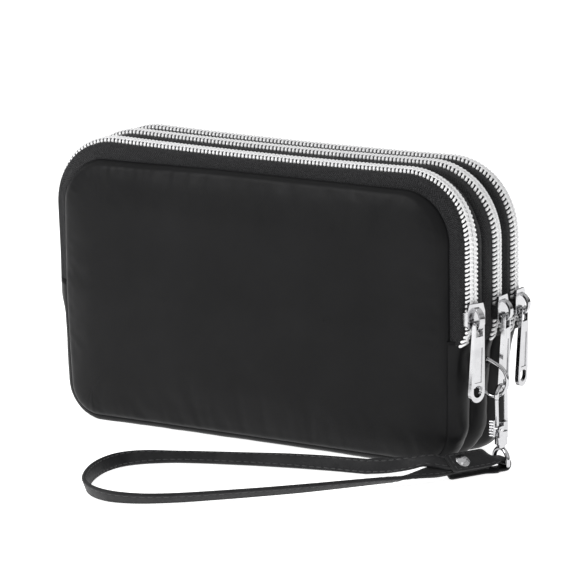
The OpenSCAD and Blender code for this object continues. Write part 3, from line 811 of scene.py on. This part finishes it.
def simulated_crown(o):
    """Runs the panel's cloth as a closed pad under pressure, held at its seam, and returns its height
    over the seam as a function of x and z, in mm."""
    cols, rows, frames = 64, 40, 20
    half_h, mid = half_and_middle(o)
    # rows stand closer together near the top and bottom seams
    heights = (0.45 * np.sin(np.linspace(-PI / 2, PI / 2, rows + 1))
               + 0.55 * np.linspace(-1, 1, rows + 1))
    pts = []
    for t in heights:
        z = mid + t * half_h
        r = o["r_top"] if t > 0 else o["r_bottom"]
        over_r = max(abs(z - mid) - (half_h - r), 0)
        width = o["w"] - r + math.sqrt(max(r * r - over_r * over_r, 0))
        pts += [(u * width, z) for u in np.linspace(-1, 1, cols + 1)]
    pts = np.array(pts)
    h = crown(pts[:, 0], pts[:, 1], o)
    n, m = rows + 1, cols + 1
    edge = np.zeros((n, m), bool)
    edge[0], edge[-1], edge[:, 0], edge[:, -1] = True, True, True, True
    edge = edge.ravel()
    h[edge] = 0
    front = np.stack([pts[:, 0], -h, pts[:, 1]], -1)
    back = np.stack([pts[:, 0], 0 * h + 1.2, pts[:, 1]], -1)
    # the back sheet shares the front sheet's points along the seam
    index = np.arange(2 * n * m)
    index[n * m:][edge] = index[:n * m][edge]
    faces = grid_faces(n, m) + grid_faces(n, m, start=n * m, flip=True)
    faces = [tuple(int(index[k]) for k in f) for f in faces]
    obj = mesh_object("cloth_tmp", np.concatenate([front, back]), faces, NYLON)
    group = obj.vertex_groups.new(name="seam")
    group.add(np.flatnonzero(edge).tolist() + list(range(n * m, 2 * n * m)), 1.0, "REPLACE")
    cloth = obj.modifiers.new("cloth", "CLOTH")
    cs = cloth.settings
    cs.quality = 6
    cs.mass = 0.05
    cs.tension_stiffness = cs.compression_stiffness = 12
    cs.shear_stiffness = 4
    cs.bending_stiffness = 0.3
    cs.use_pressure = True
    cs.uniform_pressure_force = 4
    cs.shrink_min = cs.shrink_max = -0.006
    cs.vertex_group_mass = "seam"
    cs.effector_weights.gravity = 0
    cloth.collision_settings.use_collision = False
    cloth.collision_settings.use_self_collision = False
    cloth.point_cache.frame_start, cloth.point_cache.frame_end = 1, frames
    for f in range(1, frames + 1):
        bpy.context.scene.frame_set(f)
    done = obj.evaluated_get(bpy.context.evaluated_depsgraph_get())
    co = np.array([q.co for q in done.data.vertices]) / MM
    bpy.context.scene.frame_set(1)
    # only a part of the rise is used: the filling holds the panel flatter than pressure alone
    rise = 0.45 * np.clip(np.nan_to_num(-co[:n * m, 1] - h), -2.0, 2.2)
    front[:, 1] = -(h + rise)
    tree = BVHTree.FromPolygons(front.tolist(), grid_faces(n, m))
    bpy.data.objects.remove(obj)
    print("cloth rise mm", round(float(rise.min()), 2), round(float(rise.max()), 2))

    def height(x, z):
        hit = tree.ray_cast(Vector((x, -60, z)), Vector((0, 1, 0)))
        return -hit[0].y if hit[0] is not None else 0.0

    return height


def make_panel(name, nodes, o, y_seam, facing, seed, puckers=1.0):
    """facing is -1 for the front and 1 for the back."""
    height = simulated_crown(o)
    depths = [0, 0.35, 0.8, 1.4, 2.1, 3.0, 4.0, 5.2, 6.6, 8.2, 10, 12, 14.5, 17, 20, 23.5, 27, 31, 35,
              39.5, 44, 48.5, half_and_middle(o)[0] - 0.3]
    rings = [ring_of(o, d) for d in depths]
    edge = rings[0]
    s = arc_length(edge)

    def wander_of(length, place):
        return np.array([perlin(Vector((q / length, seed, place))) for q in s])

    # puckers: strongest at the middle of the top, and some round the foot
    top = ease((edge[:, 1] - (o["high"] - 4)) / 3) * (1 - ease((np.abs(edge[:, 0]) - 58) / 14))
    foot = ease((o["low"] + 12 - edge[:, 1]) / 8)
    strength = 0.14 + 0.5 * top + 0.12 * foot
    gather = 0.55 + 0.9 * wander_of(26.0, 0.3)
    wander = 2.6 * wander_of(11.0, 4.0)
    reach = 5.5 + 5.0 * wander_of(9.0, 9.0)
    wave = np.sin(2 * PI * s / 4.3 + wander)
    second = np.sin(2 * PI * s / 9.7 + 1.7 * wander + 1.0)
    outer = []
    for d, ring in zip(depths, rings):
        x, z = ring[:, 0], ring[:, 1]
        h = crown(x, z, o) - 1.8 * math.exp(-d / 0.5)
        if height is not None and d > 0.3:
            real = np.array([height(a, b) for a, b in zip(x, z)])
            blend = float(ease((d - 0.3) / 4.0))
            h = h * (1 - blend) + real * blend
        fade = np.exp(-d / np.maximum(reach, 2.5)) * (1 - math.exp(-d / 0.9))
        pucker = puckers * fade * strength * (0.34 * wave * np.clip(gather, 0.1, 1.2) + 0.2 * second)
        wide = np.array([perlin(Vector((a / 38.0, b / 30.0, seed + 3))) for a, b in zip(x, z)])
        wide = 0.35 * wide * ease(d / 12.0)
        outer.append(np.stack([x, y_seam + facing * (h + pucker + wide), z], -1))
    inner = [np.stack([r[:, 0], 0 * r[:, 0] + y_seam - facing * (1.9 if d < 1 else 1.2), r[:, 1]], -1)
             for d, r in zip(depths, rings) if d in (0.35, 3.0, 14.5, 35, depths[-1])]
    shells = inner[::-1] + outer
    m = len(edge)
    faces = grid_faces(len(shells), m, wrap_cols=True, flip=facing < 0)
    # the innermost rings are thin slots: each is closed between its bottom run and its top run
    n_side = N_FOOT + N_SIDE + N_TOP
    for start, turn in ((0, facing < 0), ((len(shells) - 1) * m, facing > 0)):
        ids = list(range(start, start + m))
        bottom, right = ids[:N_LONG], ids[N_LONG:N_LONG + n_side]
        upper, left = ids[N_LONG + n_side:2 * N_LONG + n_side][::-1], ids[2 * N_LONG + n_side:]
        caps = list(zip(bottom, bottom[1:], upper[1:], upper))
        caps += [(bottom[-1], *right, upper[-1]), (upper[0], *left, bottom[0])]
        faces += [f if turn else f[::-1] for f in caps]
    obj = mesh_object(name, settle(np.concatenate(shells)), faces, NYLON)
    fix_normals(obj)
    ride(obj, "pouch", nodes)


make_panel("front_padded_panel", ["front_panel", "front_padding"], PANEL_FRONT, -23.4, -1, 1.5)
make_panel("back_padded_panel", ["back_panel", "back_padding"], PANEL_BACK, 20.5, 1, 8.5, 0.8)


# ---------------------------------------------------------------- inside: dividers and linings
def make_divider(name, node, y, seed):
    few = (10, 14, 30, 14, 10)
    top = offset(around(*ZIP_ARCH, 50, 55, 1, few), -3.4, y)
    foot = offset(around(92.5, 0, 20, 50, 55, -1, few), -5.2, y)
    loop = settle(np.concatenate([top, foot[::-1][1:-1]]))
    mid = np.array([0, y, 57.0])
    grids = []
    for sign in (-1, 1):
        rows = []
        for k in (1.0, 0.8, 0.6, 0.4, 0.2, 0.04):
            p = mid + (loop - mid) * k
            p[:, 1] = loop[:, 1] * k + y * (1 - k) + sign * 0.35 * (1 if k < 1 else 0.6)
            wave = np.array([perlin(Vector((q[0] / 45, q[2] / 35, seed))) for q in p])
            p[:, 1] += (1 - k) * 0.9 * wave
            rows.append(p)
        grids.append(rows)
    rings = grids[0][::-1] + grids[1]
    obj = mesh_object(name, np.concatenate(rings), tube_faces(len(rings), len(loop)), DIVIDER)
    fix_normals(obj)
    ride(obj, "pouch", [node])


def make_lining(name, node, y0, y1, seed):
    """A thin open bag that sags a little inside its compartment."""
    half, low, high, r, m = 83.5, 9.0, 94.0, 16.0, 96
    levels = [(low, 0.25), (low, 0.7)]
    levels += [(low + r - r * math.cos(t), 1.0) for t in np.linspace(0.35, PI / 2, 8)]
    levels += [(z, 1.0) for z in np.linspace(low + r, high, 16)[1:]]
    ys, yc = (y1 - y0) / 2 - 0.9, (y0 + y1) / 2
    points = []
    for z, k in levels:
        dz = max(low + r - z, 0)
        width = half - r + math.sqrt(max(r * r - dz * dz, 0))
        for i in range(m):
            t = 2 * PI * i / m
            c, s = math.cos(t), math.sin(t)
            x = (width - ys + ys * abs(c) ** 0.6) * np.sign(c) * abs(c) ** 0.35
            y = ys * np.sign(s) * abs(s) ** 0.3
            sag = abs(0.5 * perlin(Vector((x / 14, z / 10, seed))))
            points.append((x * (0.4 + 0.6 * k), yc + y * k - np.sign(s) * sag * 0.8, z))
    faces = grid_faces(len(levels), m, wrap_cols=True)
    faces.append(tuple(range(m - 1, -1, -1)))
    obj = mesh_object(name, settle(points), faces, LINING)
    solid = obj.modifiers.new("thickness", "SOLIDIFY")
    solid.thickness = 0.0004
    solid.offset = -1
    ride(obj, "pouch", [node])


make_divider("divider_sheet_front", "divider_front", -8.2, 2.0)
make_divider("divider_sheet_rear", "divider_rear", 6.6, 6.0)
make_lining("lining_bag_front", "lining_front", -21.8, -9.2, 1.0)
make_lining("lining_bag_middle", "lining_middle", -7.2, 5.6, 4.0)
make_lining("lining_bag_rear", "lining_rear", 7.6, 19.2, 7.0)


# ---------------------------------------------------------------- ring tab
def make_tab():
    """A folded strip from the valley round the ring's bar."""
    lean, mid, r, thick = math.radians(24), np.array([93.4, -8.2, 37.0]), 1.2, 0.68
    ahead = np.array([math.cos(lean), 0, -math.sin(lean)])
    upright = np.array([math.sin(lean), 0, math.cos(lean)])
    line = [(-6.4, 0.42), (-5.0, 0.42), (-3.6, 0.45), (-2.2, 0.7), (-1.1, 1.1)]
    line += [(r * math.sin(t), r * math.cos(t)) for t in np.linspace(-0.2, PI + 0.2, 12)]
    line += [(a, -b) for a, b in line[4::-1]]
    line = smooth_line(line, 2)
    along = heading(line)
    out = np.stack([-along[:, 1], along[:, 0]], 1)
    ring = section([(0.5, 0.0), (0.49, 0.3), (0.46, 0.5), (0.42, 0.5), (0.40, 0.42), (0.37, 0.5),
                    (0.0, 0.5)])
    points = []
    for (a, b), o in zip(line, out):
        tall = 10.6 - 0.5 * math.cos(a / 3.0)
        for w, t in ring:
            points.append(mid + ahead * (a + o[0] * t * thick)
                          + np.array([0, 1, 0]) * (b + o[1] * t * thick) + upright * w * tall)
    obj = mesh_object("ring_tab_fold", points, tube_faces(len(line), len(ring)), STRAP)
    fix_normals(obj)
    ride(obj, "pouch", ["ring_tab"])
    rows = []
    for side in (-1, 1):
        out = np.array([0, side * 1.0, 0])
        for k in np.arange(-4, 4.1, 1.9):
            rows.append((mid + ahead * -2.6 + upright * k + 0.98 * out, upright, out))
    ride(capsules("ring_tab_stitches", rows, 1.5, 0.2), "pouch")


make_tab()


# ---------------------------------------------------------------- metal pieces keep their CAD shape
def finish_metal(node, material, width, segments=2):
    """Smooth shading, and rounded edges of the given width in metres."""
    obj = NODES[node]
    mesh = obj.data
    mesh.materials.clear()
    mesh.materials.append(material)
    if "custom_normal" in mesh.attributes:
        mesh.attributes.remove(mesh.attributes["custom_normal"])
    mesh.polygons.foreach_set("use_smooth", [True] * len(mesh.polygons))
    weld = obj.modifiers.new("weld", "WELD")
    weld.merge_threshold = 0.000004
    if width:
        bevel = obj.modifiers.new("bevel", "BEVEL")
        bevel.width = width
        bevel.segments = segments
        bevel.limit_method = "ANGLE"
        bevel.angle_limit = math.radians(32)
        bevel.harden_normals = True
        bevel.use_clamp_overlap = True


for k in (1, 2, 3):
    finish_metal(f"slider_{k}", CHROME, 0.00022)
    finish_metal(f"pull_{k}", CHROME, 0.0003, 3)
for node, material, width in (("d_ring", CHROME, 0), ("clasp_body", CHROME, 0.00018),
                              ("trigger", CHROME, 0.00012), ("trigger_pin", STEEL, 0.0001),
                              ("trigger_spring", STEEL, 0), ("swivel_eye", CHROME, 0.00012)):
    finish_metal(node, material, width)


# ---------------------------------------------------------------- studio
# brightness of the surroundings by height, 0 straight down and 1 straight up: the two ends, then the
# bands that show as soft lines in the chrome
SKY = ((0.0, 0.06), (1.0, 1.0), (0.1, 0.08), (0.22, 0.45), (0.42, 0.95), (0.56, 0.45), (0.74, 1.0))
SKY_STRENGTH = 0.8
FLOOR_HALF, FLOOR_GLOW = 30000, 0.85
LAMP_AIM = Vector((0, 0, 0.05))
# name, place, size in metres, power in watts
LAMPS = (("key", (-0.42, -0.7, 0.55), 0.4, 3.8), ("fill", (1.2, -0.6, 0.9), 0.5, 0.8))


def studio():
    scene = bpy.context.scene
    scene.view_settings.view_transform = "Standard"
    world = bpy.data.worlds.new("studio")
    scene.world = world
    world.use_nodes = True
    tree = world.node_tree
    bg = tree.nodes["Background"]
    bg.inputs["Strength"].default_value = SKY_STRENGTH
    where = tree.nodes.new("ShaderNodeTexCoord")
    parts = tree.nodes.new("ShaderNodeSeparateXYZ")
    ramp = tree.nodes.new("ShaderNodeValToRGB")
    tree.links.new(where.outputs["Generated"], parts.inputs[0])
    tree.links.new(parts.outputs["Z"], ramp.inputs["Fac"])
    tree.links.new(ramp.outputs["Color"], bg.inputs["Color"])
    stops = ramp.color_ramp.elements
    for i, (place, level) in enumerate(SKY):
        # a new ramp already has its two ends
        stop = stops[i] if i < 2 else stops.new(place)
        stop.position, stop.color = place, (level, level, level, 1)
    white = Shader("floor", (0.9, 0.9, 0.9), 0.9, specular=0.1)
    white.set("Emission Color", (1, 1, 1, 1))
    white.set("Emission Strength", FLOOR_GLOW)
    corners = [(x * FLOOR_HALF, y * FLOOR_HALF, 0) for x, y in ((-1, -1), (1, -1), (1, 1), (-1, 1))]
    floor = mesh_object("floor", corners, [(0, 1, 2, 3)], white.mat, smooth=False)
    for name, place, size, power in LAMPS:
        light = bpy.data.lights.new(name, "AREA")
        light.shape = "SQUARE"
        light.size = size
        light.energy = power
        lamp = bpy.data.objects.new(name, light)
        scene.collection.objects.link(lamp)
        lamp.location = place
        lamp.rotation_mode = "QUATERNION"
        lamp.rotation_quaternion = (Vector(place) - LAMP_AIM).to_track_quat("Z", "Y")


studio()

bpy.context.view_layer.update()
print("strap length mm", round(float(arc_length(strap_middle)[-1]), 1))
